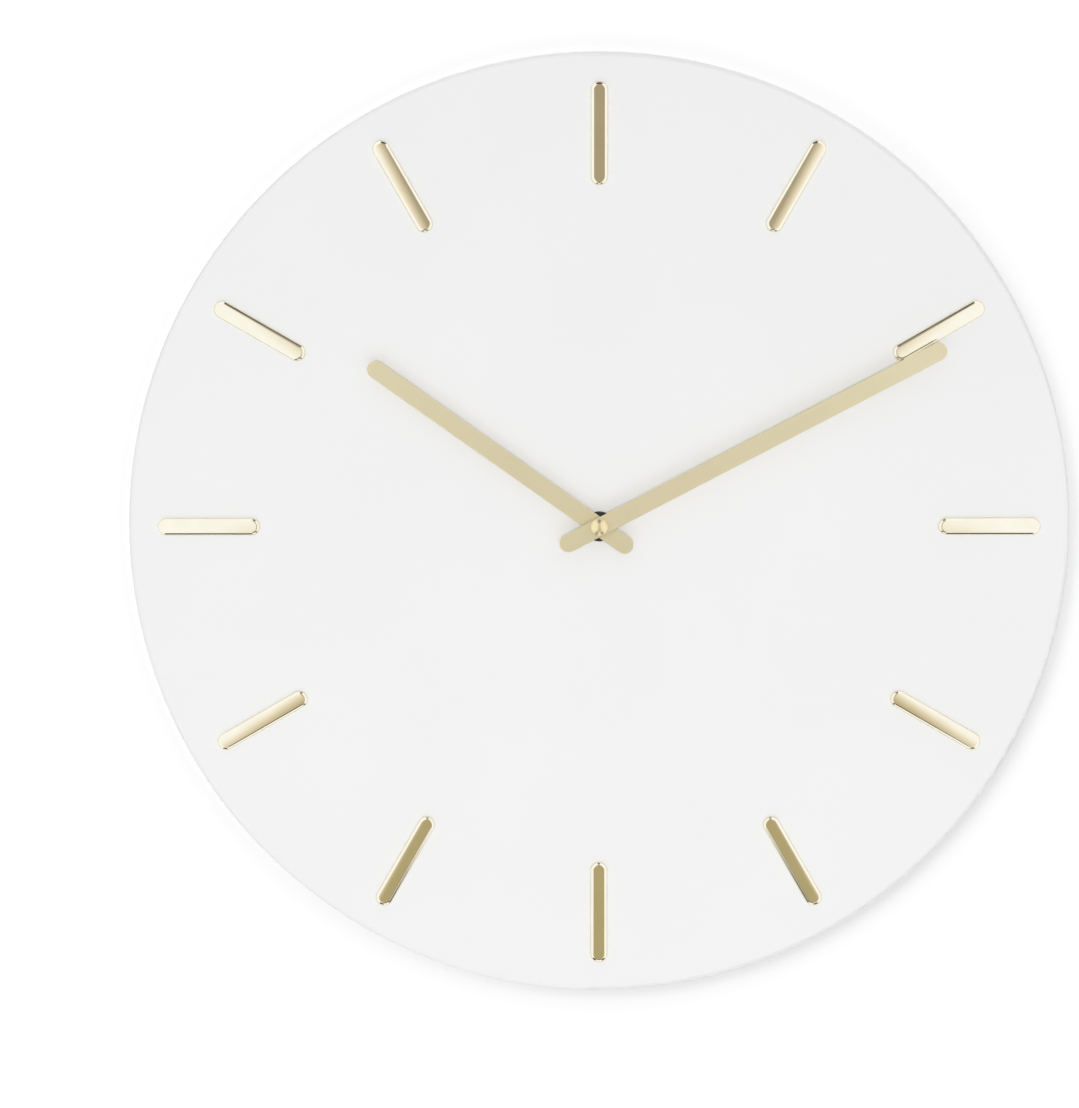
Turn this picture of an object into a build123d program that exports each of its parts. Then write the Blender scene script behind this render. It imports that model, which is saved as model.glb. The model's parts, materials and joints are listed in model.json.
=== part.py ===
from build123d import *
import math
import os

# Wall clock: white pressed-steel dial, twelve gilt bars, two flat gilt hands, one-cell
# quartz movement with its whole gear train. Millimetres, +Z up, the dial faces -Y, the wall is
# the plane y = 0 and the origin is where the axis of the hands meets the wall.

# Time shown
minutes_after_twelve = 610.43

# Dial
dial_d = 450.0
dial_t = 0.8
dial_edge_r = 2.0
dial_rim = 6.0

# Hour bars
bar_count = 12
bar_edge_gap = 14.0
bar_length = 49.0
bar_w = 8.4
bar_t = 2.3
bar_crown = 0.13
bar_round = 1.7
foot_r = 1.0
foot_head_r = 1.7
foot_head_t = 0.5
foot_inset = 11.0

# Hands, whose tips are measured from the inner ends of the bars
hand_w = 8.5
hand_t = 0.7
hand_edge = 0.12
hour_short = 28.0
hour_tail = 19.0
minute_past = 23.0
minute_tail = 20.8

# Hardware on the centre post
gasket_t = 1.0
gasket_r = 12.0
washer_t = 0.6
washer_r = 7.2
nut_t = 2.0
nut_across = 11.0
nut_bevel = 0.4
post_r = 4.0
post_flange_r = 5.5
post_flange_t = 0.8
post_over = 0.6
post_play = 0.1
collet_r = 4.0
collet_h = 1.2
collet_neck_r = 3.2
collet_gap = 0.5
rivet_over = 0.1
pipe_over = 0.5
minute_gap = 1.2
cap_r = 4.2
cap_h = 3.0
cap_land = 0.9
thread_l = 1.8

# Cell and its contacts
cell_d = 14.5
cell_l = 49.5
cell_edge = 0.5
cell_nub_r = 2.75
cell_nub_l = 1.0
cell_play = 0.3
contact_t = 0.3
contact_w = 6.0
contact_end = 2.0
leaf_room = 2.3
leaf_reach = 6.0

# Movement case
case_corner = 4.0
case_round = 1.0
thumb_w = 12.0
thumb_in = 5.0
side_wall = 1.3
front_wall = 1.5
cover_t = 1.5
cover_play = 0.1
bay_wall = 1.2
bay_floor = 1.0
chamber_play = 0.4
hanger_w = 18.0
hanger_t = 2.0
hanger_rise = 10.0
keyhole_rise = 7.0
keyhole_r = 4.0
keyhole_slot = 4.4
keyhole_run = 6.0
boss_r = 1.5
boss_pin_r = 0.7
prop_r = 1.0
prop_inset = 1.9

# Layers of the movement from the wall to the dial
train_t = 1.0
motion_t = 1.2
bridge_t = 1.2
gap_cover = 0.7
gap_fifth = 0.6
gap_fourth = 0.8
gap_third = 1.2
gap_centre = 0.4
gap_motion = 1.5
gap_wheel = 0.4
gap_hour = 0.3
overlap = 0.2

# Numbers of teeth
cannon_count = 10
minute_count = 30
minute_pinion_count = 8
hour_count = 32
setting_count = 10
rotor_count = 8
fifth_count = 40
fifth_pinion_count = 8
fourth_count = 48
fourth_pinion_count = 8
third_count = 60
third_pinion_count = 8
centre_count = 64

# Modules of the teeth
motion_module = 0.5
rotor_module = 0.30
fifth_module = 0.40
centre_module = 0.30
wheel_tip = 0.65

# Half of a tooth from root to tip: rise from the pitch circle in modules, half width in pitches
wheel_tooth = ((-1.0, 0.27), (0.0, 0.215), (wheel_tip, 0.11))
pinion_tooth = ((-0.95, 0.205), (0.0, 0.20), (0.6, 0.095))

# Directions between the axes of the wheels, in degrees from +X
minute_angle = 20.0
setting_angle = -25.0
third_angle = 180.0
fifth_angle = 40.0
rotor_angle = 75.0

# Arbors, pivots and knob
run = 0.05
snug = 0.02
arbor_r = 0.5
pivot_r = 0.4
pivot_in = 0.8
stud_r = 0.8
hour_pipe_r = 2.5
minute_arbor_r = 1.75
seat_step = 0.2
flat_share = 0.62
journal_r = 1.5
spigot_r = 1.2
hub_r = 2.2
clutch_r = 1.9
clutch_t = 0.4
knob_r = 4.5
knob_t = 2.0
knob_sink = 0.5
knob_arbor_r = 1.25
knob_groove_r = 0.45
knob_groove_count = 12
knob_gap = 0.3
cup_wall = 1.0

# Train bridge
bridge_left = 15.5
bridge_right = 14.0
bridge_low = 9.5
bridge_high = 10.0
tab_w = 9.0
tab_high = 17.0
bridge_corner = 1.5
bridge_inset = 2.0

# Step motor
magnet_r = 2.6
magnet_t = 2.0
air_gap = 0.5
notch_r = 0.6
notch_angle = 50.0
lamination = 1.0
stator_web = 2.05
stator_foot = 1.2
arm_w = 3.2
core_w = 3.0
coil_x = 12.5
coil_l = 13.0
coil_r = 2.9
coil_gap = 0.7
spool_r = 2.1
flange_t = 0.7
flange_over = 0.3

# Circuit board
board_t = 0.8
board_drop = 13.0
board_gap = 5.8
board_inset = 4.2
chip_r = 3.0
chip_h = 1.3
crystal_r = 1.0
crystal_l = 6.0

# Stack of the layers, as distances in front of the wall
h_fifth = cover_t + gap_cover
h_fourth = h_fifth + train_t + gap_fifth
h_third = h_fourth + train_t + gap_fourth
h_centre = h_third + train_t + gap_third
h_bridge = h_centre + train_t + gap_centre
h_minute = h_bridge + bridge_t + gap_motion
h_hour = h_minute + motion_t + gap_wheel
h_inside = h_hour + motion_t + gap_hour
h_case = h_inside + front_wall
h_back = h_case + gasket_t
h_dial = h_back + dial_t
h_washer = h_dial + washer_t
h_nut = h_washer + nut_t
h_post = h_nut + post_over
h_collet = h_post + collet_gap
h_hour_hand = h_collet + collet_h
h_pipe = h_hour_hand + hand_t + pipe_over
h_minute_hand = h_pipe + minute_gap
h_cap = h_minute_hand + hand_t


def around(distance, degrees, x=0.0, z=0.0):
    """Point at a distance and an angle from another point, in the plane of the dial."""
    turn = math.radians(degrees)
    return (x + distance * math.cos(turn), z + distance * math.sin(turn))


# Axes of the wheels
third_d = (third_pinion_count + centre_count) * centre_module / 2
third_module = 2 * third_d / (fourth_pinion_count + third_count)
motion_d = (cannon_count + minute_count) * motion_module / 2
setting_d = (setting_count + minute_count) * motion_module / 2
fifth_d = (fourth_count + fifth_pinion_count) * fifth_module / 2
rotor_d = (fifth_count + rotor_count) * rotor_module / 2
minute_c = around(motion_d, minute_angle)
setting_c = around(setting_d, setting_angle, *minute_c)
third_c = around(third_d, third_angle)
fifth_c = around(fifth_d, fifth_angle)
rotor_c = around(rotor_d, rotor_angle, *fifth_c)

# Plan of the step motor
stator_hole = magnet_r + air_gap
flange_r = coil_r + flange_over
coil_z = rotor_c[1] + stator_hole + stator_web + flange_r
coil_x0 = coil_x - coil_l / 2
coil_x1 = coil_x + coil_l / 2
pin_left = coil_x0 - flange_t - arm_w / 2 - flange_over
pin_right = coil_x1 + flange_t + arm_w / 2 + flange_over
motor_pins = ((pin_left, coil_z), (pin_right, coil_z))
core_h = h_third + flange_over
coil_h = core_h + lamination / 2
stator_h = core_h - lamination

# Plan of the case: as wide as the cell and its contacts, as high as the wheels, motor and cell
cell_r = cell_d / 2
case_w = cell_l + cell_nub_l + leaf_room + 2 * (side_wall + contact_t)
half = case_w / 2
inner = half - side_wall
chamber_low = -(fourth_count * fifth_module / 2 + wheel_tip * fifth_module + chamber_play)
chamber_top = coil_z + flange_r + coil_gap + contact_t
bay_top = chamber_low - bay_wall
bay_low = bay_top - cell_d - 2 * cell_play
case_top = chamber_top + side_wall
case_low = bay_low - side_wall
cell_z = bay_top - cell_play - cell_r
cell_h = h_case - bay_floor - cell_play - cell_r

# Lengths and turns that follow from the driving sizes
dial_r = dial_d / 2
bar_inner_r = dial_r - bar_edge_gap - bar_length
foot_rings = (bar_inner_r + foot_inset, bar_inner_r + bar_length - foot_inset)
hour_tip = bar_inner_r - hour_short
minute_tip = bar_inner_r + minute_past
minute_turn = 6.0 * minutes_after_twelve
hour_turn = minute_turn / 12.0

os.makedirs("parts", exist_ok=True)


def front(h, x=0.0, z=0.0):
    """Drawing plane h in front of the wall, facing the viewer, centred at x, z."""
    return Plane(origin=(x, -h, z), x_dir=(1, 0, 0), z_dir=(0, -1, 0))


def disc(r, h0, h1, x=0.0, z=0.0, mode=Mode.ADD):
    """Round post or hole between two distances from the wall."""
    with BuildSketch(front(h0, x, z)) as outline:
        Circle(r)
    extrude(outline.sketch, amount=h1 - h0, mode=mode)


def block(x0, x1, z0, z1, h0, h1, mode=Mode.ADD, corner=0.0):
    """Rectangular block or pocket between two distances from the wall."""
    with BuildSketch(front(h0, (x0 + x1) / 2, (z0 + z1) / 2)) as outline:
        if corner:
            RectangleRounded(x1 - x0, z1 - z0, corner)
        else:
            Rectangle(x1 - x0, z1 - z0)
    extrude(outline.sketch, amount=h1 - h0, mode=mode)


def tooth_outline(teeth, module, first, pinion):
    """Corner points of a toothed wheel with one tooth centred on the angle first."""
    pitch_r = teeth * module / 2
    shape = pinion_tooth if pinion else wheel_tooth
    steps = [(r, -t) for r, t in shape] + [(r, t) for r, t in reversed(shape)]
    points = []
    for k in range(teeth):
        for rise, half_tooth in steps:
            turn = first + 360.0 / teeth * (k + half_tooth)
            points.append(around(pitch_r + rise * module, turn))
    return points


def toothed(teeth, module, first, h0, h1, at=(0.0, 0.0), pinion=False):
    """Toothed wheel or pinion between two distances from the wall."""
    points = tooth_outline(teeth, module, first, pinion)
    with BuildSketch(front(h0, *at)) as outline:
        with BuildLine():
            Polyline(*points, close=True)
        make_face()
    extrude(outline.sketch, amount=h1 - h0)


def meshing(first, teeth, line, mate):
    """Angle of a tooth on the mate that fits a wheel whose tooth stands at the angle first."""
    return line + 180.0 - ((first - line) * teeth + 180.0) / mate


def save(piece, name):
    """Names a piece and writes it."""
    piece.label = name
    export_step(piece, "parts/" + name + ".step")


# Dial: flat pressed sheet with a turned-back rim
dial_hole_r = post_r + 2 * post_play
bend_in = dial_edge_r - dial_t
with BuildPart() as dial:
    with BuildSketch(Plane.XY):
        with BuildLine():
            Line((dial_hole_r, -h_dial), (dial_r - dial_edge_r, -h_dial))
            RadiusArc((dial_r - dial_edge_r, -h_dial), (dial_r, -h_dial + dial_edge_r), -dial_edge_r)
            Line((dial_r, -h_dial + dial_edge_r), (dial_r, -h_dial + dial_rim))
            Line((dial_r, -h_dial + dial_rim), (dial_r - dial_t, -h_dial + dial_rim))
            Line((dial_r - dial_t, -h_dial + dial_rim), (dial_r - dial_t, -h_dial + dial_edge_r))
            RadiusArc((dial_r - dial_t, -h_dial + dial_edge_r), (dial_r - dial_edge_r, -h_back), bend_in)
            Line((dial_r - dial_edge_r, -h_back), (dial_hole_r, -h_back))
            Line((dial_hole_r, -h_back), (dial_hole_r, -h_dial))
        make_face()
    revolve(axis=Axis.Y)
    for foot_at in foot_rings:
        with BuildSketch(front(h_back)) as foot_holes:
            with PolarLocations(foot_at, bar_count):
                Circle(foot_r + run)
        extrude(foot_holes.sketch, amount=dial_t, mode=Mode.SUBTRACT)
save(dial.part, "dial")

# Hour bars: faintly crowned slots with rounded shoulders, each on two riveted feet
bar_half = bar_w / 2
bar_mid = bar_inner_r + bar_length / 2
bar_edge = -h_dial - bar_t
with BuildPart() as bar:
    with BuildSketch(front(h_dial, 0.0, bar_mid)):
        SlotOverall(bar_length, bar_w, rotation=90)
    extrude(amount=bar_t + bar_crown)
    with BuildSketch(Plane(origin=(0, 0, bar_inner_r), x_dir=(1, 0, 0), z_dir=(0, 0, 1))):
        with BuildLine():
            Line((-bar_half, -h_dial), (bar_half, -h_dial))
            Line((bar_half, -h_dial), (bar_half, bar_edge))
            ThreePointArc((bar_half, bar_edge), (0, bar_edge - bar_crown), (-bar_half, bar_edge))
            Line((-bar_half, bar_edge), (-bar_half, -h_dial))
        make_face()
    extrude(amount=bar_length, mode=Mode.INTERSECT)
    fillet(bar.faces().sort_by(Axis.Y)[0].edges(), bar_round)
    for foot_z in foot_rings:
        disc(foot_r, h_back, h_dial, 0.0, foot_z)
        disc(foot_head_r, h_back - foot_head_t, h_back, 0.0, foot_z)
for hour in range(1, bar_count + 1):
    save(bar.part.rotate(Axis.Y, 360.0 / bar_count * hour), f"hour_bar_{hour:02d}")


def hand_plan(tip, tail, turn):
    """Plan of a hand on the current drawing plane, pointing turn degrees clockwise from twelve."""
    with Locations(Location((0, 0, 0), (0, 0, -turn))):
        with Locations((0, (tip - tail) / 2)):
            SlotOverall(tip + tail, hand_w, rotation=90)


# Hour hand with its riveted collet
with BuildPart() as hour_hand:
    with BuildSketch(front(h_hour_hand)):
        hand_plan(hour_tip, hour_tail, hour_turn)
        Circle(collet_neck_r, mode=Mode.SUBTRACT)
    extrude(amount=hand_t)
    chamfer(hour_hand.faces().sort_by(Axis.Y)[0].outer_wire().edges(), hand_edge)
save(hour_hand.part, "hour_hand")
with BuildPart() as hour_collet:
    disc(collet_r, h_collet, h_hour_hand)
    disc(collet_neck_r, h_hour_hand, h_hour_hand + hand_t + rivet_over)
    disc(hour_pipe_r, h_collet, h_pipe, mode=Mode.SUBTRACT)
save(hour_collet.part, "hour_hand_collet")

# Minute hand on the flats of its arbor, and the domed nut that holds it
seat_r = minute_arbor_r - seat_step
flat_half = minute_arbor_r * flat_share
with BuildPart() as minute_hand:
    with BuildSketch(front(h_minute_hand)):
        hand_plan(minute_tip, minute_tail, minute_turn)
        with BuildSketch(mode=Mode.PRIVATE) as flats:
            Circle(seat_r + snug)
            Rectangle(2 * (flat_half + snug), 4 * seat_r, rotation=-minute_turn, mode=Mode.INTERSECT)
        add(flats.sketch, mode=Mode.SUBTRACT)
    extrude(amount=hand_t)
    chamfer(minute_hand.faces().sort_by(Axis.Y)[0].outer_wire().edges(), hand_edge)
save(minute_hand.part, "minute_hand")
dome_r = (cap_r**2 + (cap_h - cap_land) ** 2) / (2 * (cap_h - cap_land))
with BuildPart() as cap:
    with BuildSketch(Plane.XY):
        with BuildLine():
            Line((0, -h_cap), (cap_r, -h_cap))
            Line((cap_r, -h_cap), (cap_r, -h_cap - cap_land))
            RadiusArc((cap_r, -h_cap - cap_land), (0, -h_cap - cap_h), dome_r)
            Line((0, -h_cap - cap_h), (0, -h_cap))
        make_face()
    revolve(axis=Axis.Y)
    disc(flat_half, h_cap, h_cap + thread_l + overlap, mode=Mode.SUBTRACT)
save(cap.part, "minute_hand_nut")

# Hardware that clamps the dial on the post
with BuildPart() as gasket:
    disc(gasket_r, h_case, h_back)
    disc(post_r + post_play, h_case, h_back, mode=Mode.SUBTRACT)
save(gasket.part, "dial_gasket")
with BuildPart() as washer:
    disc(washer_r, h_dial, h_washer)
    disc(post_r + post_play, h_dial, h_washer, mode=Mode.SUBTRACT)
save(washer.part, "dial_washer")
nut_corner_r = nut_across / math.sqrt(3)
with BuildPart() as nut:
    with BuildSketch(front(h_washer)):
        RegularPolygon(nut_across / 2, 6, major_radius=False)
    extrude(amount=nut_t)
    with BuildSketch(Plane.XY) as crown:
        with BuildLine():
            Polyline(
                (0, -h_washer),
                (nut_corner_r, -h_washer),
                (nut_corner_r, -h_nut + nut_bevel),
                (nut_corner_r - 2 * nut_bevel, -h_nut),
                (0, -h_nut),
                close=True,
            )
        make_face()
    revolve(crown.sketch, axis=Axis.Y, mode=Mode.INTERSECT)
    disc(post_r, h_washer, h_nut, mode=Mode.SUBTRACT)
save(nut.part, "dial_nut")
with BuildPart() as post:
    disc(post_flange_r, h_inside, h_inside + post_flange_t)
    disc(post_r, h_inside, h_post)
    disc(hour_pipe_r + run, h_inside, h_post, mode=Mode.SUBTRACT)
save(post.part, "centre_post")

# Movement case: gear chamber above, cell bay with a thumb notch below, hanger on top
bridge_posts = (
    (-bridge_left + bridge_inset, bridge_high - bridge_inset),
    (-bridge_left + bridge_inset, -bridge_low + bridge_inset),
    (bridge_right - bridge_inset, -bridge_low + bridge_inset),
    (bridge_right - tab_w + bridge_inset, tab_high - bridge_inset),
)
board_h = h_centre - board_t
board_x0 = -inner + contact_t
board_x1 = pin_left - arm_w / 2 - board_gap
board_z1 = chamber_top - contact_t
board_z0 = board_z1 - board_drop
board_posts = (
    (board_x0 + board_inset, board_z0 + board_inset),
    (board_x1 - board_inset, board_z1 - board_inset),
)
prop_x = inner - prop_inset
cover_posts = (
    (prop_x, chamber_top - prop_inset),
    (prop_x, chamber_low + prop_inset),
    (-prop_x, chamber_low + prop_inset),
    (-prop_x, board_z0 - prop_inset),
)
slot_w = contact_t + 2 * cell_play
strip_h = cell_h - contact_w / 2
with BuildPart() as case:
    block(-half, half, case_low, case_top, 0.0, h_case, corner=case_corner)
    fillet(case.faces().sort_by(Axis.Y)[0].edges(), case_round)
    block(-inner, inner, chamber_low, chamber_top, 0.0, h_inside, mode=Mode.SUBTRACT)
    block(-inner, inner, bay_low, bay_top, 0.0, h_case - bay_floor, mode=Mode.SUBTRACT)
    for slot_x in (-inner, inner - slot_w):
        block(
            slot_x,
            slot_x + slot_w,
            bay_top,
            chamber_low,
            strip_h - cell_play,
            strip_h + contact_w + cell_play,
            mode=Mode.SUBTRACT,
        )
    with BuildSketch(Plane(origin=(0, 0, case_low), x_dir=(1, 0, 0), z_dir=(0, 0, 1))):
        SlotCenterToCenter(thumb_w, 2 * thumb_in)
    extrude(amount=side_wall, mode=Mode.SUBTRACT)
    with BuildSketch(front(0.0, 0.0, case_top)):
        with Locations((0, (hanger_rise - side_wall) / 2)):
            Rectangle(hanger_w, hanger_rise + side_wall)
        with Locations((0, hanger_rise)):
            Circle(hanger_w / 2)
        with Locations((0, -side_wall - hanger_w / 2)):
            Rectangle(hanger_w, hanger_w, mode=Mode.SUBTRACT)
        with Locations((0, keyhole_rise)):
            Circle(keyhole_r, mode=Mode.SUBTRACT)
        with Locations((0, keyhole_rise + keyhole_run / 2)):
            Rectangle(keyhole_slot, keyhole_run, mode=Mode.SUBTRACT)
        with Locations((0, keyhole_rise + keyhole_run)):
            Circle(keyhole_slot / 2, mode=Mode.SUBTRACT)
    extrude(amount=hanger_t)
    for post_c in bridge_posts:
        disc(boss_r, h_bridge + bridge_t, h_inside, *post_c)
        disc(stud_r, h_bridge + overlap, h_inside, *post_c)
    for post_c in board_posts:
        disc(boss_r, board_h + board_t, h_inside, *post_c)
        disc(boss_pin_r, board_h - overlap, h_inside, *post_c)
    for post_c in motor_pins:
        disc(boss_r, core_h + lamination, h_inside, *post_c)
        disc(boss_pin_r, stator_h - overlap, h_inside, *post_c)
    for post_c in cover_posts:
        disc(prop_r, cover_t, h_inside, *post_c)
    disc(stud_r, h_minute - overlap, h_inside, *minute_c)
    disc(post_flange_r, h_inside, h_inside + post_flange_t, mode=Mode.SUBTRACT)
    disc(post_r, h_inside, h_case, mode=Mode.SUBTRACT)
    disc(stud_r + run, h_inside, h_inside + pivot_in + overlap, *setting_c, mode=Mode.SUBTRACT)
save(case.part, "movement_case")

# Rear cover with the rear bearings and the cup of the setting knob
cup_r = knob_r + knob_gap
cup_floor = knob_sink + knob_t + knob_gap
with BuildPart() as cover:
    block(
        -inner + cover_play,
        inner - cover_play,
        chamber_low + cover_play,
        chamber_top - cover_play,
        0.0,
        cover_t,
    )
    disc(cup_r + cup_wall, 0.0, cup_floor + cup_wall, *setting_c)
    disc(cup_r, 0.0, cup_floor, *setting_c, mode=Mode.SUBTRACT)
    disc(knob_arbor_r + run, 0.0, cup_floor + cup_wall, *setting_c, mode=Mode.SUBTRACT)
    for bearing in ((0.0, 0.0), third_c, fifth_c, rotor_c):
        disc(pivot_r + run, cover_t - pivot_in - run, cover_t, *bearing, mode=Mode.SUBTRACT)
save(cover.part, "movement_cover")

# Bridge plate between the train and the motion work
with BuildPart() as bridge:
    block(
        -bridge_left,
        bridge_right,
        -bridge_low,
        bridge_high,
        h_bridge,
        h_bridge + bridge_t,
        corner=bridge_corner,
    )
    block(
        bridge_right - tab_w,
        bridge_right,
        -bridge_low,
        tab_high,
        h_bridge,
        h_bridge + bridge_t,
        corner=bridge_corner,
    )
    for post_c in bridge_posts:
        disc(stud_r + run, h_bridge, h_bridge + bridge_t, *post_c, mode=Mode.SUBTRACT)
    for bearing in (third_c, fifth_c, rotor_c):
        disc(pivot_r + run, h_bridge, h_bridge + bridge_t, *bearing, mode=Mode.SUBTRACT)
    disc(journal_r + run, h_bridge, h_bridge + bridge_t, mode=Mode.SUBTRACT)
    disc(stud_r + arbor_r, h_bridge + bridge_t, h_minute - 2 * overlap, *minute_c)
save(bridge.part, "train_bridge")

# Phases of the teeth, each fitted to its mate along the line of centres
cannon_first = minute_angle
minute_first = meshing(cannon_first, cannon_count, minute_angle, minute_count)
setting_first = meshing(minute_first, minute_count, setting_angle, setting_count)
minute_pinion_first = minute_angle + 180.0
hour_first = meshing(minute_pinion_first, minute_pinion_count, minute_angle + 180.0, hour_count)
centre_first = third_angle
third_pinion_first = meshing(centre_first, centre_count, third_angle, third_pinion_count)
fourth_pinion_first = third_angle
third_first = meshing(fourth_pinion_first, fourth_pinion_count, third_angle, third_count)
fourth_first = fifth_angle
fifth_pinion_first = meshing(fourth_first, fourth_count, fifth_angle, fifth_pinion_count)
fifth_first = rotor_angle
rotor_first = meshing(fifth_first, fifth_count, rotor_angle, rotor_count)

# Minute arbor: hand flats and thread in front, cannon pinion, journal and clutch spigot behind
h_cannon = h_minute - overlap
h_cannon_end = h_minute + motion_t + overlap
h_shoulder = h_bridge - overlap
h_hub = h_centre - overlap / 2
h_collar = h_hub - clutch_t
h_spigot = h_collar - clutch_t
with BuildPart() as minute_arbor:
    disc(spigot_r, h_spigot, h_shoulder)
    disc(journal_r, h_shoulder, h_cannon)
    toothed(cannon_count, motion_module, cannon_first, h_cannon, h_cannon_end, pinion=True)
    disc(minute_arbor_r, h_cannon_end, h_minute_hand)
    with BuildSketch(front(h_minute_hand)):
        Circle(seat_r)
        Rectangle(2 * flat_half, 4 * seat_r, rotation=-minute_turn, mode=Mode.INTERSECT)
    extrude(amount=hand_t)
    disc(flat_half - snug, h_cap, h_cap + thread_l)
    disc(pivot_r + run, h_spigot, h_spigot + 2 * pivot_in, mode=Mode.SUBTRACT)
save(minute_arbor.part, "minute_arbor")

# Hour wheel with the pipe that carries the hour hand
with BuildPart() as hour_wheel:
    toothed(hour_count, motion_module, hour_first, h_hour, h_hour + motion_t)
    disc(hour_pipe_r, h_hour, h_pipe)
    disc(minute_arbor_r + run, h_hour, h_pipe, mode=Mode.SUBTRACT)
save(hour_wheel.part, "hour_wheel")

# Minute wheel and pinion, loose on a stud of the case
h_wheel_end = h_minute + motion_t
h_pinion_end = h_inside - overlap
with BuildPart() as minute_wheel:
    toothed(minute_count, motion_module, minute_first, h_minute, h_wheel_end, minute_c)
    toothed(
        minute_pinion_count,
        motion_module,
        minute_pinion_first,
        h_wheel_end,
        h_pinion_end,
        minute_c,
        pinion=True,
    )
    disc(stud_r + run, h_minute, h_pinion_end, *minute_c, mode=Mode.SUBTRACT)
save(minute_wheel.part, "minute_wheel")

# Setting knob with its arbor and pinion
with BuildPart() as knob:
    disc(knob_r, knob_sink, knob_sink + knob_t, *setting_c)
    with BuildSketch(front(knob_sink, *setting_c)) as grooves:
        with PolarLocations(knob_r, knob_groove_count):
            Circle(knob_groove_r)
    extrude(grooves.sketch, amount=knob_t, mode=Mode.SUBTRACT)
    disc(knob_arbor_r, knob_sink + knob_t, h_cannon, *setting_c)
    toothed(setting_count, motion_module, setting_first, h_cannon, h_cannon_end, setting_c, pinion=True)
    disc(stud_r, h_cannon_end, h_inside + pivot_in, *setting_c)
save(knob.part, "setting_knob")

# Centre wheel, which slips on the minute arbor, with the spring and collar of its clutch
with BuildPart() as centre_wheel:
    toothed(centre_count, centre_module, centre_first, h_centre, h_centre + train_t)
    disc(hub_r, h_hub, h_shoulder)
    disc(spigot_r + snug, h_hub, h_shoulder, mode=Mode.SUBTRACT)
save(centre_wheel.part, "centre_wheel")
with BuildPart() as clutch_spring:
    with BuildSketch(front(h_collar)):
        RegularPolygon(hub_r, 6)
        Circle(spigot_r + snug, mode=Mode.SUBTRACT)
    extrude(amount=clutch_t)
save(clutch_spring.part, "clutch_spring")
with BuildPart() as clutch_collar:
    disc(clutch_r, h_spigot, h_collar)
    disc(spigot_r, h_spigot, h_collar, mode=Mode.SUBTRACT)
save(clutch_collar.part, "clutch_collar")

# Pivots of the train, from the bearings in the cover to those in the bridge
h_rear = cover_t - pivot_in
h_arbor = cover_t + gap_hour
h_fore = h_bridge + pivot_in
h_fore_arbor = h_bridge - gap_hour

# Third wheel
with BuildPart() as third_wheel:
    disc(pivot_r, h_rear, h_third, *third_c)
    disc(arbor_r, h_arbor, h_third, *third_c)
    toothed(third_count, third_module, third_first, h_third, h_third + train_t, third_c)
    toothed(
        third_pinion_count,
        centre_module,
        third_pinion_first,
        h_third + train_t,
        h_centre + train_t + overlap,
        third_c,
        pinion=True,
    )
    disc(pivot_r, h_centre, h_fore, *third_c)
save(third_wheel.part, "third_wheel")

# Seconds wheel, on the axis of the hands
with BuildPart() as fourth_wheel:
    disc(pivot_r, h_rear, h_fourth)
    disc(arbor_r, h_arbor, h_fourth)
    toothed(fourth_count, fifth_module, fourth_first, h_fourth, h_fourth + train_t)
    toothed(
        fourth_pinion_count,
        third_module,
        fourth_pinion_first,
        h_fourth + train_t,
        h_third + train_t + overlap / 2,
        pinion=True,
    )
    disc(pivot_r, h_third, h_spigot + pivot_in)
save(fourth_wheel.part, "seconds_wheel")

# Fifth wheel, between the rotor and the seconds wheel
with BuildPart() as fifth_wheel:
    disc(pivot_r, h_rear, h_fifth, *fifth_c)
    disc(arbor_r, h_arbor, h_fifth, *fifth_c)
    toothed(fifth_count, rotor_module, fifth_first, h_fifth, h_fifth + train_t, fifth_c)
    toothed(
        fifth_pinion_count,
        fifth_module,
        fifth_pinion_first,
        h_fifth + train_t,
        h_fourth + train_t + overlap,
        fifth_c,
        pinion=True,
    )
    disc(arbor_r, h_fourth, h_fore_arbor, *fifth_c)
    disc(pivot_r, h_fourth, h_fore, *fifth_c)
save(fifth_wheel.part, "fifth_wheel")

# Rotor: pinion and arbor, with the magnet pressed on
magnet_h = stator_h + lamination / 2 - magnet_t / 2
h_rotor_end = h_fifth + train_t + overlap
with BuildPart() as rotor:
    disc(pivot_r, h_rear, h_fore, *rotor_c)
    toothed(rotor_count, rotor_module, rotor_first, h_fifth - overlap, h_rotor_end, rotor_c, pinion=True)
    disc(stud_r, h_rotor_end, magnet_h + magnet_t + gap_hour, *rotor_c)
save(rotor.part, "rotor_arbor")
with BuildPart() as magnet:
    disc(magnet_r, magnet_h, magnet_h + magnet_t, *rotor_c)
    disc(stud_r, magnet_h, magnet_h + magnet_t, *rotor_c, mode=Mode.SUBTRACT)
save(magnet.part, "rotor_magnet")

# Stator of the step motor: a forked sheet round the rotor, with two notches that set its rest
stator_x0 = pin_left - arm_w / 2
stator_x1 = pin_right + arm_w / 2
stator_low = rotor_c[1] - stator_hole - stator_foot
with BuildPart() as stator:
    block(stator_x0, stator_x1, stator_low, coil_z + core_w / 2, stator_h, core_h)
    block(
        stator_x0 + arm_w,
        stator_x1 - arm_w,
        coil_z - flange_r - cell_play,
        coil_z + core_w,
        stator_h,
        core_h,
        mode=Mode.SUBTRACT,
    )
    disc(stator_hole, stator_h, core_h, *rotor_c, mode=Mode.SUBTRACT)
    with BuildSketch(front(stator_h, *rotor_c)) as notches:
        with PolarLocations(stator_hole, 2, start_angle=notch_angle):
            Circle(notch_r)
    extrude(notches.sketch, amount=lamination, mode=Mode.SUBTRACT)
    for post_c in motor_pins:
        disc(boss_pin_r + run, stator_h, core_h, *post_c, mode=Mode.SUBTRACT)
save(stator.part, "stator")

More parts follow.
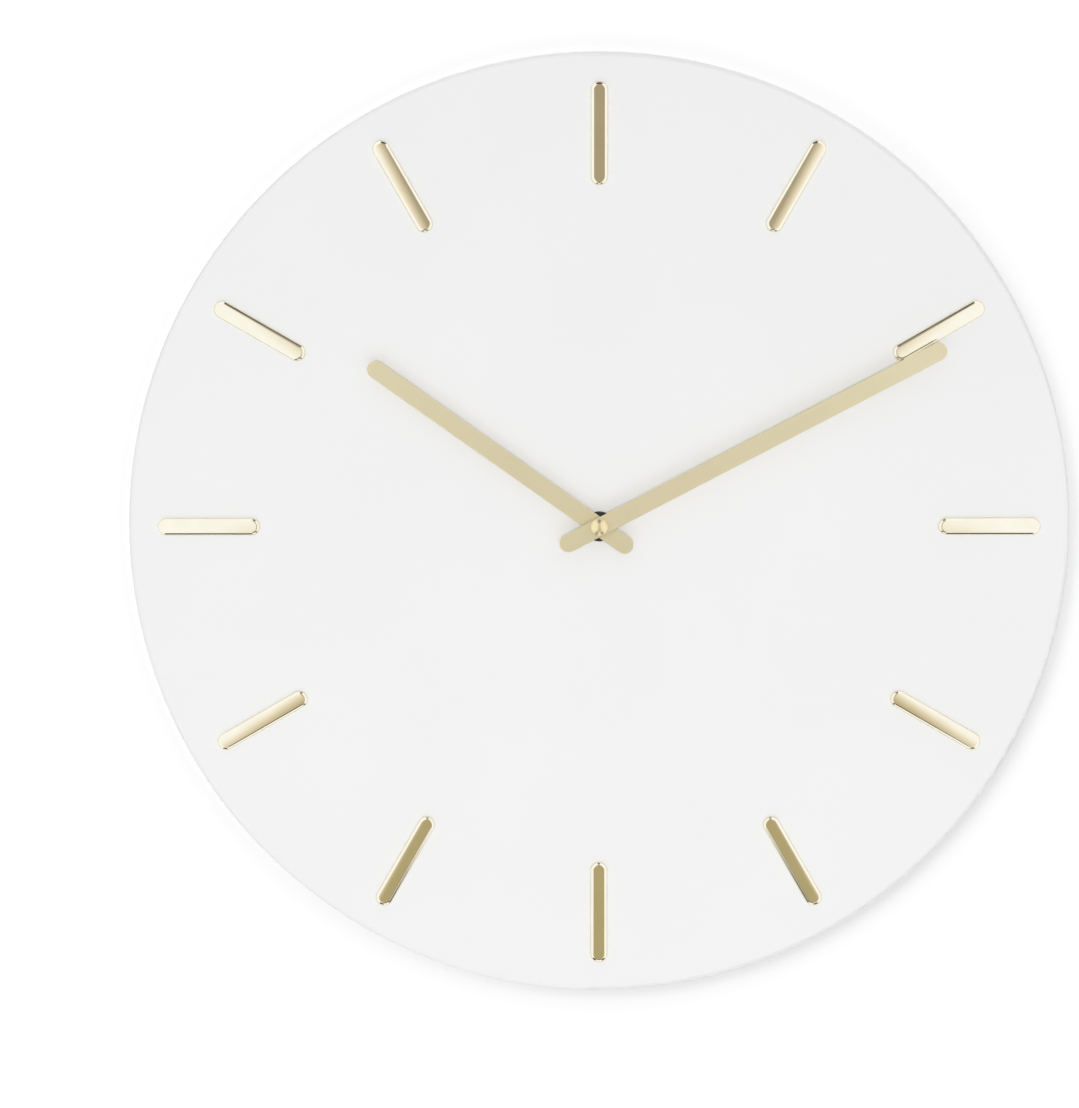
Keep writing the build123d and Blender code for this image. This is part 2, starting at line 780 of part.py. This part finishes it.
# Coil: iron core through a flanged spool of copper wire
with BuildPart() as core:
    block(
        stator_x0,
        stator_x1,
        coil_z - core_w / 2,
        coil_z + core_w / 2,
        core_h,
        core_h + lamination,
    )
    for post_c in motor_pins:
        disc(boss_pin_r + run, core_h, core_h + lamination, *post_c, mode=Mode.SUBTRACT)
save(core.part, "coil_core")


def across(x, h, z):
    """Drawing plane across the movement at x, facing +X, centred at h and z."""
    return Plane(origin=(x, -h, z), x_dir=(0, 1, 0), z_dir=(1, 0, 0))


with BuildPart() as spool:
    for flange_x in (coil_x0 - flange_t, coil_x1):
        with BuildSketch(across(flange_x, coil_h, coil_z)):
            Circle(flange_r)
        extrude(amount=flange_t)
    with BuildSketch(across(coil_x0, coil_h, coil_z)):
        Circle(spool_r)
    extrude(amount=coil_l)
    with BuildSketch(across(coil_x0 - flange_t, coil_h, coil_z)):
        Rectangle(lamination + 2 * snug, core_w + 2 * snug)
    extrude(amount=coil_l + 2 * flange_t, mode=Mode.SUBTRACT)
save(spool.part, "coil_spool")
with BuildPart() as winding:
    with BuildSketch(across(coil_x0, coil_h, coil_z)):
        Circle(coil_r)
        Circle(spool_r, mode=Mode.SUBTRACT)
    extrude(amount=coil_l)
save(winding.part, "coil_winding")

# Circuit board with its chip and crystal
chip_x = (board_x0 + board_x1) / 2
chip_z = (board_z0 + board_z1) / 2
with BuildPart() as board:
    block(board_x0, board_x1, board_z0, board_z1, board_h, board_h + board_t)
    for post_c in board_posts:
        disc(boss_pin_r + run, board_h, board_h + board_t, *post_c, mode=Mode.SUBTRACT)
save(board.part, "circuit_board")
chip_dome_r = (chip_r**2 + chip_h**2) / (2 * chip_h)
with BuildPart() as chip:
    with BuildSketch(Plane(origin=(chip_x, -board_h, chip_z), x_dir=(1, 0, 0), z_dir=(0, 0, 1))):
        with BuildLine():
            Line((0, 0), (chip_r, 0))
            RadiusArc((chip_r, 0), (0, chip_h), -chip_dome_r)
            Line((0, chip_h), (0, 0))
        make_face()
    revolve(axis=Axis((chip_x, -board_h, chip_z), (0, 1, 0)))
save(chip.part, "timing_chip")
with BuildPart() as crystal:
    with BuildSketch(across(board_x0 + board_inset, board_h - crystal_r, board_z1 - crystal_l / 2)):
        Circle(crystal_r)
    extrude(amount=crystal_l)
save(crystal.part, "quartz_crystal")

# Cell, lying in its bay with the button towards +X, and its two contact strips
button_x = inner - contact_t
can_x1 = button_x - cell_nub_l
can_x0 = can_x1 - cell_l
with BuildPart() as cell:
    with BuildSketch(across(can_x0, cell_h, cell_z)):
        Circle(cell_r)
    extrude(amount=cell_l)
    chamfer(cell.edges().filter_by(GeomType.CIRCLE), cell_edge)
    with BuildSketch(across(can_x1, cell_h, cell_z)):
        Circle(cell_nub_r)
    extrude(amount=cell_nub_l)
save(cell.part, "dry_cell")
strip_end = strip_h + contact_w
with BuildPart() as plus_strip:
    block(inner - contact_t, inner, bay_low + contact_end, chamber_top, strip_h, strip_end)
    block(board_x1 - board_inset, inner, chamber_top - contact_t, chamber_top, strip_h, strip_end)
save(plus_strip.part, "contact_strip_plus")
leaf_root = -inner + contact_t
leaf_tip = cell_nub_r / 2
with BuildPart() as minus_strip:
    block(-inner, leaf_root, bay_low + contact_end, board_z1 - board_inset, strip_h, strip_end)
    with BuildSketch(front(strip_h, 0.0, cell_z)) as leaf:
        with BuildLine():
            Polyline(
                (leaf_root, -leaf_reach),
                (can_x0, -leaf_tip),
                (can_x0, leaf_tip),
                (leaf_root, leaf_reach),
                (leaf_root, leaf_reach - leaf_tip),
                (can_x0 - contact_t, leaf_tip - contact_t),
                (can_x0 - contact_t, -leaf_tip + contact_t),
                (leaf_root, -leaf_reach + leaf_tip),
                close=True,
            )
        make_face()
    extrude(leaf.sketch, amount=contact_w)
save(minus_strip.part, "contact_strip_minus")
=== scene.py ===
import json
import math

import bpy
from mathutils import Matrix, Vector

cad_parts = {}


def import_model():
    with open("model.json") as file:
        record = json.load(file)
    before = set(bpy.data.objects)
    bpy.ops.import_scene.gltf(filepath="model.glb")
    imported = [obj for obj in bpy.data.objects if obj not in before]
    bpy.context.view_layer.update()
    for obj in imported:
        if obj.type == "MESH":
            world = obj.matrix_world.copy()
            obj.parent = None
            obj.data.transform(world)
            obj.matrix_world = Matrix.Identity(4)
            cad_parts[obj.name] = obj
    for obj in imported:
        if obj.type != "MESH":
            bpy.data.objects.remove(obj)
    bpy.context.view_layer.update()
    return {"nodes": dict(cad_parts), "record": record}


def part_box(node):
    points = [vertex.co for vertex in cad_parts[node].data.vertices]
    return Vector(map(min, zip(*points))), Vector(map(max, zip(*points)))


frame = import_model()
nodes = frame["nodes"]
scene = bpy.context.scene

# Directions of the two hands, in degrees clockwise from twelve
MINUTE_TURN = 6.0 * 610.43
HOUR_TURN = MINUTE_TURN / 12.0

# Camera, fitted to the outline of the dial and the ends of the bars
CAMERA_AT = (-0.0255, -1.3975, 0.0864)
CAMERA_YAW = -0.125
CAMERA_PITCH = -4.133
CAMERA_ROLL = -0.04
PIXEL_FOCAL = 2889.0
FRAME_HEIGHT = 1108.0
SENSOR = 36.0

# Soft light from all round: in front, from behind, and what the floor and the top add,
# with the directions between which each of them fades
FILL_FRONT = 0.30
FILL_WALL = 0.80
FILL_FLOOR = 0.32
FILL_TOP = 0.30
FADE_TO_WALL = (-0.1, 0.1)
FADE_FROM_FLOOR = (-0.75, -0.15)
FADE_TO_TOP = (0.15, 0.75)

# Lamps: place, point that it faces, width, height and power
MIDDLE = (0.0, 0.0, 0.0)
FRONT_LAMP = ((-0.05, -2.60, 0.06), MIDDLE, 0.5, 0.5, 29.2)
KEY_LAMP = ((-0.65, -2.80, 0.65), MIDDLE, 1.2, 1.2, 32.0)
LOW_LAMP = ((0.0, -0.95, -0.62), (0.0, 0.0, -0.25), 1.8, 0.7, 2.15)
REAR_LAMP = ((0.9, 1.6, 1.1), MIDDLE, 1.4, 1.4, 5.0)

# White wall: its paint, and a painted glow of its own that grows away from the clock and is full far outside
# the picture; weak next to the clock, it leaves a painted darker ring round the clock that deepens its
# shadow there
WALL_REACH = 4.0
WALL_BACK = 0.0006
WALL_COLOUR = 0.71
WALL_PAINTED_GLOW_NEAR = 0.035
WALL_PAINTED_GLOW_FAR = 0.25
WALL_PAINTED_GLOW_FROM = 0.231
WALL_PAINTED_GLOW_TO = 0.251
WALL_WHITE_FROM = 0.35
WALL_WHITE_TO = 1.40

# Colours that the polished metal mirrors
TENT = (1.16, 1.24, 1.40)
TENT_WARM = (1.02, 0.98, 0.88)
FLAG_TOP = (0.15, 0.135, 0.10)
FLAG_UPPER = (0.47, 0.43, 0.335)
FLAG_LOWER = (0.52, 0.47, 0.29)
BOOM_DARK = (0.06, 0.055, 0.05)
FLOOR_DARK = (0.07, 0.065, 0.05)

# Tent of white cards round the clock, which the polished metal mirrors
TENT_SIDE = 1.60
TENT_FRONT = -1.44
TENT_BACK = -0.03
TENT_TOP = 1.50
TENT_FLOOR = -0.60
BOOM_HIGH = 0.45
BOOM_HALF = 0.12
BOOM_NEAR = -0.50
BOOM_FAR = -0.06

# Dim opening round the camera in the front card: half its width at the height of the upper bars,
# how much wider it gets for each metre down, the width of its soft edge, the heights between which its
# tones change, and the shares of the soft edge that are warm and white
OPENING_X = 0.03
OPENING_Z = 0.236
OPENING_HALF = 0.13
OPENING_FLARE = 0.18
OPENING_SOFT = 0.15
OPENING_TO_LOWER = (0.0, -0.35)
OPENING_TO_TOP = (0.34, 0.44)
EDGE_WARM = (0.0, 0.8)
EDGE_WHITE = (0.7, 1.2)

# Dark places on the floor card: half the width of the path in the middle, the span of the patch on each
# side of it, and the depth at which the path gives way to the patches
FLOOR_PATH = (0.15, 0.21)
FLOOR_PATCH_IN = (0.13, 0.19)
FLOOR_PATCH_OUT = (0.38, 0.44)
FLOOR_CLOSE = (-0.72, -0.60)

# Sleeve of the cell along its length: dark from here, copper from here, and bare steel at the button end;
# the dark film, which isn't metal, by its middle and half its length
SLEEVE_DARK = 0.012
SLEEVE_COPPER = 0.70
SLEEVE_END = 0.963
FILM_MIDDLE = 0.36
FILM_HALF = 0.345


class Tree:
    """Small helper that adds and links the nodes of a material or a world."""

    def __init__(self, block):
        block.use_nodes = True
        self.block = block
        self.nodes = block.node_tree.nodes
        self.links = block.node_tree.links
        self.places = self.add("ShaderNodeTexCoord").outputs
        self.object = self.places["Object"]

    def add(self, kind, **settings):
        node = self.nodes.new(kind)
        for key, value in settings.items():
            setattr(node, key, value)
        return node

    def put(self, socket, value):
        """Links a socket, or sets the plain value of an input."""
        if hasattr(value, "is_output"):
            self.links.new(value, socket)
        else:
            socket.default_value = value

    def math(self, operation, first, second=0.0):
        node = self.add("ShaderNodeMath", operation=operation)
        self.put(node.inputs[0], first)
        self.put(node.inputs[1], second)
        return node.outputs[0]

    def parts(self, vector):
        """The three parts of a vector."""
        node = self.add("ShaderNodeSeparateXYZ")
        self.put(node.inputs[0], vector)
        return node.outputs

    def stretched(self, scale, turn=0.0):
        """Object coordinates turned about the axis of the hands, then scaled."""
        turned = self.add("ShaderNodeMapping")
        self.put(turned.inputs["Vector"], self.object)
        turned.inputs["Rotation"].default_value = (0.0, math.radians(turn), 0.0)
        node = self.add("ShaderNodeMapping")
        self.put(node.inputs["Vector"], turned.outputs[0])
        node.inputs["Scale"].default_value = scale
        return node.outputs[0]

    def radius(self, x, z):
        """Distance from the axis of the hands."""
        squares = self.math("ADD", self.math("MULTIPLY", x, x), self.math("MULTIPLY", z, z))
        return self.math("SQRT", squares)

    def polar(self, along, across):
        """Coordinates that run out from the axis of the hands and round it."""
        x, _, z = self.parts(self.object)
        out = self.math("MULTIPLY", self.radius(x, z), along)
        turn = self.math("MULTIPLY", self.math("ARCTAN2", x, z), across)
        joined = self.add("ShaderNodeCombineXYZ")
        self.put(joined.inputs[0], out)
        self.put(joined.inputs[1], turn)
        return joined.outputs[0]

    def noise(self, vector, scale, detail=3.0, rough=0.5):
        node = self.add("ShaderNodeTexNoise")
        self.put(node.inputs["Vector"], vector)
        node.inputs["Scale"].default_value = scale
        node.inputs["Detail"].default_value = detail
        node.inputs["Roughness"].default_value = rough
        return node.outputs["Fac"]

    def spread(self, value, low, high, start=0.3, end=0.7):
        """Maps a value to the span low to high, from the usual span of a noise or from start to end."""
        node = self.add("ShaderNodeMapRange")
        self.put(node.inputs["Value"], value)
        node.inputs["From Min"].default_value = start
        node.inputs["From Max"].default_value = end
        node.inputs["To Min"].default_value = low
        node.inputs["To Max"].default_value = high
        return node.outputs["Result"]

    @staticmethod
    def colour_inputs(node):
        return [socket for socket in node.inputs if socket.type == "RGBA"]

    def tones(self, value, first, second):
        """Colour between two tones."""
        node = self.add("ShaderNodeMix", data_type="RGBA")
        self.put(node.inputs["Factor"], value)
        for socket, tone in zip(self.colour_inputs(node), (first, second)):
            socket.default_value = (*tone, 1.0)
        return next(socket for socket in node.outputs if socket.type == "RGBA")

    def over(self, value, under, tone):
        """Colour that changes from a linked one to a plain tone."""
        mixed = self.tones(value, tone, tone)
        self.put(self.colour_inputs(mixed.node)[0], under)
        return mixed

    def bump(self, height, depth, strength=1.0, under=None):
        node = self.add("ShaderNodeBump")
        node.inputs["Strength"].default_value = strength
        node.inputs["Distance"].default_value = depth
        self.put(node.inputs["Height"], height)
        if under is not None:
            self.put(node.inputs["Normal"], under)
        return node.outputs["Normal"]

    def rays(self, *kinds):
        """One for the named kinds of ray, and nought for the rest."""
        path = self.add("ShaderNodeLightPath")
        found = 0.0
        for kind in kinds:
            found = self.math("MAXIMUM", path.outputs["Is " + kind + " Ray"], found)
        return found

    def mixed(self, value, first, second):
        """Shader between two shaders."""
        node = self.add("ShaderNodeMixShader")
        for socket, given in zip(node.inputs, (value, first, second)):
            self.put(socket, given)
        return node.outputs[0]

    def finish(self, colour, roughness, normal, **sockets):
        shader = self.nodes["Principled BSDF"]
        self.put(shader.inputs["Base Color"], colour)
        self.put(shader.inputs["Roughness"], roughness)
        self.put(shader.inputs["Normal"], normal)
        for key, value in sockets.items():
            self.put(shader.inputs[key.replace("_", " ")], value)
        return self.block


def new_material(name):
    return Tree(bpy.data.materials.new(name))


def grained(name, first, second, rough, grain, depth, patch=60.0, **sockets):
    """Material with a fine grain, slow changes of tone and an uneven gloss."""
    tree = new_material(name)
    slow = tree.spread(tree.noise(tree.object, patch), 0.0, 1.0)
    fine = tree.noise(tree.object, grain, 4.0, 0.6)
    gloss = tree.spread(tree.noise(tree.object, grain / 4.0), *rough)
    return tree.finish(tree.tones(slow, first, second), gloss, tree.bump(fine, depth), **sockets)


def powder_coat():
    """White powder coat with a faint orange peel."""
    tree = new_material("white_powder_coat")
    slow = tree.spread(tree.noise(tree.object, 14.0, 2.0), 0.0, 1.0)
    peel = tree.noise(tree.object, 900.0, 2.0, 0.45)
    fine = tree.noise(tree.object, 3600.0, 2.0, 0.5)
    gloss = tree.spread(tree.noise(tree.object, 420.0), 0.46, 0.56)
    colour = tree.tones(slow, (0.876, 0.874, 0.869), (0.887, 0.885, 0.880))
    normal = tree.bump(peel, 0.00003, 0.5)
    normal = tree.bump(fine, 0.00001, 0.35, normal)
    return tree.finish(colour, gloss, normal)


def polished_gilt():
    """Polished champagne gilt, with hairlines that run along each bar."""
    tree = new_material("polished_gilt")
    hair = tree.noise(tree.polar(40.0, 2200.0), 1.0, 3.0, 0.6)
    slow = tree.spread(tree.noise(tree.object, 90.0), 0.0, 1.0)
    colour = tree.tones(slow, (0.815, 0.735, 0.555), (0.845, 0.765, 0.59))
    gloss = tree.spread(hair, 0.045, 0.105)
    return tree.finish(colour, gloss, tree.bump(hair, 0.000003, 0.25), Metallic=1.0)


def satin_gilt(name, turn):
    """Satin champagne gilt, brushed along the hand."""
    tree = new_material(name)
    lines = tree.noise(tree.stretched((5200.0, 900.0, 26.0), turn), 1.0, 3.0, 0.6)
    slow = tree.spread(tree.noise(tree.object, 30.0), 0.0, 1.0)
    colour = tree.tones(slow, (0.765, 0.665, 0.425), (0.80, 0.695, 0.45))
    gloss = tree.spread(lines, 0.36, 0.48)
    return tree.finish(colour, gloss, tree.bump(lines, 0.000006, 0.5), Metallic=1.0)


def turned_brass():
    """Brass with fine rings left by the lathe."""
    tree = new_material("turned_brass")
    rings = tree.noise(tree.polar(9000.0, 1.2), 1.0, 2.0, 0.5)
    slow = tree.spread(tree.noise(tree.object, 300.0), 0.0, 1.0)
    colour = tree.tones(slow, (0.76, 0.61, 0.335), (0.81, 0.67, 0.385))
    gloss = tree.spread(rings, 0.27, 0.37)
    return tree.finish(colour, gloss, tree.bump(rings, 0.000004, 0.4), Metallic=1.0)


def wound_copper():
    """Enamelled wire, wound round the length of the coil."""
    tree = new_material("wound_copper")
    wave = tree.add("ShaderNodeTexWave", wave_type="BANDS", bands_direction="X")
    tree.put(wave.inputs["Vector"], tree.object)
    wave.inputs["Scale"].default_value = 900.0
    wave.inputs["Distortion"].default_value = 0.4
    slow = tree.spread(tree.noise(tree.object, 400.0), 0.0, 1.0)
    colour = tree.tones(slow, (0.52, 0.20, 0.08), (0.66, 0.30, 0.13))
    gloss = tree.spread(tree.noise(tree.object, 1500.0), 0.22, 0.34)
    return tree.finish(colour, gloss, tree.bump(wave.outputs["Fac"], 0.00008, 0.7), Metallic=0.8)


def cell_wrap(low, high):
    """Plain sleeve of a dry cell: dark, with a copper band at the button end and bare steel ends."""
    tree = new_material("cell_wrap")
    x, _, _ = tree.parts(tree.object)
    place = tree.math("DIVIDE", tree.math("SUBTRACT", x, low), high - low)
    ramp = tree.add("ShaderNodeValToRGB")
    ramp.color_ramp.interpolation = "CONSTANT"
    steel, copper, dark = (0.62, 0.61, 0.59, 1.0), (0.55, 0.30, 0.14, 1.0), (0.018, 0.018, 0.02, 1.0)
    stops = ((0.0, steel), (SLEEVE_DARK, dark), (SLEEVE_COPPER, copper), (SLEEVE_END, steel))
    ramp.color_ramp.elements[0].color = stops[0][1]
    ramp.color_ramp.elements[1].position = stops[1][0]
    ramp.color_ramp.elements[1].color = stops[1][1]
    for position, colour in stops[2:]:
        ramp.color_ramp.elements.new(position).color = colour
    tree.put(ramp.inputs["Fac"], place)
    off_dark = tree.math("ABSOLUTE", tree.math("SUBTRACT", place, FILM_MIDDLE))
    metal = tree.math("GREATER_THAN", off_dark, FILM_HALF)
    gloss = tree.spread(tree.noise(tree.object, 260.0), 0.20, 0.32)
    fine = tree.noise(tree.object, 1800.0, 3.0, 0.5)
    return tree.finish(ramp.outputs["Color"], gloss, tree.bump(fine, 0.000006, 0.4), Metallic=metal)


def dress():
    """Gives every CAD node its material."""
    cell_low, cell_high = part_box("dry_cell")
    plain = {
        "dark_steel": grained(
            "dark_steel", (0.075, 0.068, 0.058), (0.12, 0.108, 0.09), (0.30, 0.42),
            2600.0, 0.000006, Metallic=1.0),
        "black_rubber": grained(
            "black_rubber", (0.018, 0.018, 0.018), (0.03, 0.03, 0.03), (0.75, 0.9), 1800.0, 0.00002),
        "black_plastic": grained(
            "black_plastic", (0.016, 0.016, 0.017), (0.026, 0.026, 0.028), (0.42, 0.56), 1600.0, 0.00004),
        "wheel_plastic": grained(
            "wheel_plastic", (0.74, 0.71, 0.62), (0.80, 0.77, 0.68), (0.36, 0.46), 1400.0, 0.00001,
            Subsurface_Weight=0.08),
        "bridge_plastic": grained(
            "bridge_plastic", (0.68, 0.68, 0.66), (0.74, 0.74, 0.72), (0.40, 0.52), 1400.0, 0.00002),
        "spring_steel": grained(
            "spring_steel", (0.58, 0.57, 0.54), (0.66, 0.65, 0.62), (0.22, 0.34), 2400.0, 0.000005,
            Metallic=1.0),
        "motor_iron": grained(
            "motor_iron", (0.44, 0.44, 0.43), (0.54, 0.54, 0.52), (0.34, 0.48), 2000.0, 0.00001,
            Metallic=1.0),
        "magnet": grained(
            "magnet", (0.09, 0.09, 0.09), (0.15, 0.15, 0.15), (0.50, 0.64), 3000.0, 0.00002, Metallic=0.6),
        "board": grained(
            "board", (0.03, 0.15, 0.06), (0.05, 0.20, 0.09), (0.28, 0.40), 1200.0, 0.00002),
        "resin": grained(
            "resin", (0.012, 0.012, 0.012), (0.02, 0.02, 0.02), (0.16, 0.26), 500.0, 0.00003),
        "crystal_can": grained(
            "crystal_can", (0.66, 0.66, 0.65), (0.74, 0.74, 0.73), (0.14, 0.24), 2600.0, 0.000004,
            Metallic=1.0),
        "white_coat": powder_coat(),
        "gilt_polished": polished_gilt(),
        "brass": turned_brass(),
        "copper_wire": wound_copper(),
        "cell_sleeve": cell_wrap(cell_low[0], cell_high[0]),
    }
    hands = {
        "hour_hand": satin_gilt("satin_gilt_hour", -HOUR_TURN),
        "minute_hand": satin_gilt("satin_gilt_minute", -MINUTE_TURN),
    }
    for subpart in frame["record"]["subparts"]:
        name = subpart["node"]
        slots = nodes[name].data.materials
        slots.clear()
        slots.append(hands.get(name) or plain[subpart["material_slot"]])


def sheet(name, points, faces, material):
    """Flat stage piece from its corner points."""
    mesh = bpy.data.meshes.new(name)
    mesh.from_pydata(points, [], faces)
    mesh.materials.append(material)
    piece = bpy.data.objects.new(name, mesh)
    scene.collection.objects.link(piece)
    return piece


def hide_from(piece, *kinds):
    for kind in kinds:
        setattr(piece, "visible_" + kind, False)


def wall_material():
    """White wall that keeps the shadow of the clock, with a painted glow that is weak next to the clock, so
    it is painted darker round the clock and lighter further out, and isn't there when seen from behind.
    """
    tree = new_material("white_wall")
    paint = tree.add("ShaderNodeBsdfDiffuse")
    paint.inputs["Color"].default_value = (WALL_COLOUR, WALL_COLOUR, WALL_COLOUR, 1.0)
    glow = tree.add("ShaderNodeEmission")
    x, _, z = tree.parts(tree.object)
    out = tree.radius(x, z)
    # Painted glow: weak next to the clock and strong away from it, so the wall is painted darker round the
    # clock and lighter further out
    painted_glow = tree.spread(out, WALL_PAINTED_GLOW_NEAR, WALL_PAINTED_GLOW_FAR, WALL_PAINTED_GLOW_FROM, WALL_PAINTED_GLOW_TO)
    painted_glow = tree.math("MAXIMUM", painted_glow, tree.spread(out, 0.0, 1.0, WALL_WHITE_FROM, WALL_WHITE_TO))
    tree.put(glow.inputs["Strength"], tree.math("MULTIPLY", tree.rays("Camera", "Glossy"), painted_glow))
    both = tree.add("ShaderNodeAddShader")
    tree.put(both.inputs[0], paint.outputs[0])
    tree.put(both.inputs[1], glow.outputs[0])
    clear = tree.add("ShaderNodeBsdfTransparent")
    behind = tree.add("ShaderNodeNewGeometry").outputs["Backfacing"]
    shader = tree.mixed(behind, both.outputs[0], clear.outputs[0])
    tree.put(tree.nodes["Material Output"].inputs["Surface"], shader)
    tree.nodes.remove(tree.nodes["Principled BSDF"])
    return tree.block


def card_material(name):
    """Material of a card that is seen only in reflections, its glow, and the places on it."""
    tree = new_material(name)
    glow = tree.add("ShaderNodeEmission")
    tree.put(tree.nodes["Material Output"].inputs["Surface"], glow.outputs[0])
    tree.nodes.remove(tree.nodes["Principled BSDF"])
    return tree, glow.inputs["Color"], tree.parts(tree.object)


def plain_card(name, tone):
    tree, colour, _ = card_material(name)
    colour.default_value = (*tone, 1.0)
    return tree.block


def front_card():
    """White card with a dim opening round the camera that widens towards the floor."""
    tree, colour, (x, _, z) = card_material("front_card")
    below = tree.math("SUBTRACT", OPENING_Z, z)
    half = tree.math("ADD", tree.math("MULTIPLY", below, OPENING_FLARE), OPENING_HALF)
    aside = tree.math("ABSOLUTE", tree.math("SUBTRACT", x, OPENING_X))
    past = tree.math("DIVIDE", tree.math("SUBTRACT", aside, half), OPENING_SOFT)
    height = tree.spread(z, 0.0, 1.0, *OPENING_TO_LOWER)
    dim = tree.tones(height, FLAG_UPPER, FLAG_LOWER)
    dim = tree.over(tree.spread(z, 0.0, 1.0, *OPENING_TO_TOP), dim, FLAG_TOP)
    warm = tree.over(tree.spread(past, 0.0, 1.0, *EDGE_WARM), dim, TENT_WARM)
    tree.put(colour, tree.over(tree.spread(past, 0.0, 1.0, *EDGE_WHITE), warm, TENT))
    return tree.block


def floor_card():
    """White floor, dark in the middle far from the wall and in two patches close to it."""
    tree, colour, (x, y, _) = card_material("floor_card")
    aside = tree.math("ABSOLUTE", x)
    close = tree.spread(y, 0.0, 1.0, *FLOOR_CLOSE)
    middle = tree.spread(aside, 1.0, 0.0, *FLOOR_PATH)
    patch = tree.math("MULTIPLY", tree.spread(aside, 0.0, 1.0, *FLOOR_PATCH_IN), close)
    patch = tree.math("MULTIPLY", tree.spread(aside, 1.0, 0.0, *FLOOR_PATCH_OUT), patch)
    path = tree.math("MULTIPLY", middle, tree.math("SUBTRACT", 1.0, close))
    tree.put(colour, tree.tones(tree.math("MAXIMUM", patch, path), TENT, FLOOR_DARK))
    return tree.block


def stage():
    """Wall behind the clock, and the tent of cards in front of it."""
    quad = [(0, 1, 2, 3)]
    turns = ((-1, -1), (1, -1), (1, 1), (-1, 1))
    points = [(WALL_REACH * x, WALL_BACK, WALL_REACH * z) for x, z in turns]
    wall = sheet("wall", points, quad, wall_material())
    hide_from(wall, "diffuse", "shadow", "transmission")
    a, b = -TENT_SIDE, TENT_SIDE
    near, far, low, high = TENT_FRONT, TENT_BACK, TENT_FLOOR, TENT_TOP
    white = plain_card("tent_card", TENT)
    boom = plain_card("boom", BOOM_DARK)
    corners = {
        "front_card": ([(a, near, low), (b, near, low), (b, near, high), (a, near, high)], front_card()),
        "left_card": ([(a, near, low), (a, far, low), (a, far, high), (a, near, high)], white),
        "right_card": ([(b, near, low), (b, far, low), (b, far, high), (b, near, high)], white),
        "top_card": ([(a, near, high), (b, near, high), (b, far, high), (a, far, high)], white),
        "floor_card": ([(a, near, low), (b, near, low), (b, far, low), (a, far, low)], floor_card()),
        "boom": (
            [
                (-BOOM_HALF, BOOM_NEAR, BOOM_HIGH), (BOOM_HALF, BOOM_NEAR, BOOM_HIGH),
                (BOOM_HALF, BOOM_FAR, BOOM_HIGH), (-BOOM_HALF, BOOM_FAR, BOOM_HIGH),
            ],
            boom,
        ),
    }
    for name, (points, material) in corners.items():
        card = sheet(name, points, quad, material)
        hide_from(card, "camera", "diffuse", "shadow", "transmission", "volume_scatter")
    return wall


def world():
    """White where it is seen or mirrored; for the rest a soft fill, more from floor, top and behind."""
    tree = Tree(bpy.data.worlds.new("studio"))
    scene.world = tree.block
    white = tree.nodes["Background"]
    white.inputs["Color"].default_value = (1.0, 1.0, 1.0, 1.0)
    fill = tree.add("ShaderNodeBackground")
    fill.inputs["Color"].default_value = (1.0, 1.0, 1.0, 1.0)
    _, y, z = tree.parts(tree.places["Generated"])
    round_about = tree.spread(y, FILL_FRONT, FILL_WALL, *FADE_TO_WALL)
    from_floor = tree.spread(z, FILL_FLOOR, 0.0, *FADE_FROM_FLOOR)
    from_top = tree.spread(z, 0.0, FILL_TOP, *FADE_TO_TOP)
    upright = tree.math("ADD", from_floor, from_top)
    tree.put(fill.inputs["Strength"], tree.math("ADD", round_about, upright))
    seen = tree.rays("Camera", "Glossy", "Transmission")
    shader = tree.mixed(seen, fill.outputs[0], white.outputs[0])
    tree.put(tree.nodes["World Output"].inputs["Surface"], shader)


def lamp(name, at, towards, width, height, power):
    light = bpy.data.lights.new(name, "AREA")
    light.shape = "RECTANGLE"
    light.size = width
    light.size_y = height
    light.energy = power
    piece = bpy.data.objects.new(name, light)
    piece.location = at
    piece.rotation_euler = (Vector(towards) - Vector(at)).to_track_quat("-Z", "Y").to_euler()
    scene.collection.objects.link(piece)
    return piece


def linked(name, piece, state):
    """Collection that tells a lamp to light one piece alone, or to pass it by."""
    group = bpy.data.collections.new(name)
    group.objects.link(piece)
    group.collection_objects[0].light_linking.link_state = state
    return group


def lamps(wall):
    """Light from near the camera, a low lamp for the clock, a key for the wall, and one behind the clock."""
    front = lamp("front", *FRONT_LAMP)
    key = lamp("key", *KEY_LAMP)
    low = lamp("low", *LOW_LAMP)
    lamp("rear", *REAR_LAMP)
    low.light_linking.receiver_collection = linked("all_but_the_wall", wall, "EXCLUDE")
    key.light_linking.receiver_collection = linked("wall_alone", wall, "INCLUDE")
    for piece in (front, key, low):
        piece.visible_glossy = False


def camera():
    lens = bpy.data.cameras.new("camera")
    lens.sensor_width = SENSOR
    lens.sensor_fit = "AUTO"
    lens.lens = SENSOR * PIXEL_FOCAL / FRAME_HEIGHT
    piece = bpy.data.objects.new("camera", lens)
    yaw, pitch = math.radians(CAMERA_YAW), math.radians(CAMERA_PITCH)
    ahead = Vector((math.sin(yaw) * math.cos(pitch), math.cos(yaw) * math.cos(pitch), math.sin(pitch)))
    turn = ahead.to_track_quat("-Z", "Y").to_matrix().to_4x4()
    turn = turn @ Matrix.Rotation(math.radians(CAMERA_ROLL), 4, "Z")
    piece.matrix_world = Matrix.Translation(CAMERA_AT) @ turn
    scene.collection.objects.link(piece)
    scene.camera = piece


dress()
wall = stage()
world()
lamps(wall)
camera()
scene.view_settings.view_transform = "Standard"
